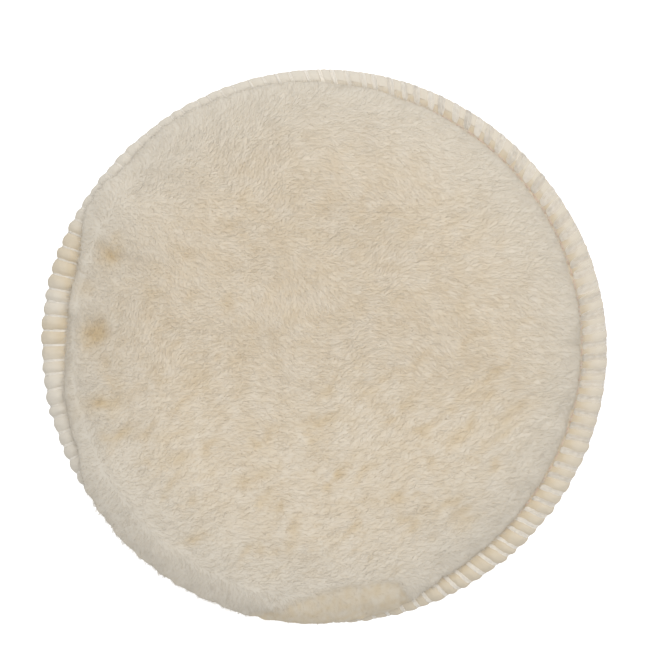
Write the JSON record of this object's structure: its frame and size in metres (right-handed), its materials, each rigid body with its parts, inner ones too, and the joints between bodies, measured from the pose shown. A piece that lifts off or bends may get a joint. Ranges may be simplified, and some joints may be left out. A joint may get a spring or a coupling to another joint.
{
  "type": "polishing pad",
  "caption": "Round lambswool polishing pad with an overlocked rim and a hook-and-loop back, for buffing paintwork on a rotary or orbital polisher.",
  "frame": {"origin": "on the underside of the loop backing, at the middle of the pad", "axes": "+Z out of the wool side along the pad's axis; X and Y lie across the pad, which is round"},
  "size_m": [0.15, 0.15, 0.0208],
  "materials": {
    "wool": "matt, dense sheared cream fleece, slightly matted",
    "hide": "matt tanned sheepskin",
    "adhesive": "thin translucent hot-melt film",
    "foam": "matt open-cell polyurethane foam",
    "loop_ground": "knitted nylon ground",
    "loop_pile": "brushed nylon loops with a faint sheen",
    "needle_thread": "twisted polyester sewing thread",
    "looper_thread": "bulky low-twist multi-filament thread with a soft sheen"
  },
  "bodies": {
    "root": {"wool_pile": "wool", "sheepskin_hide": "hide", "upper_adhesive_film": "adhesive", "cushion_foam": "foam", "lower_adhesive_film": "adhesive", "loop_fabric_ground": "loop_ground", "loop_pile": "loop_pile", "needle_thread": "needle_thread", "upper_looper_thread": "looper_thread", "lower_looper_thread": "looper_thread"}
  },
  "joints": []
}
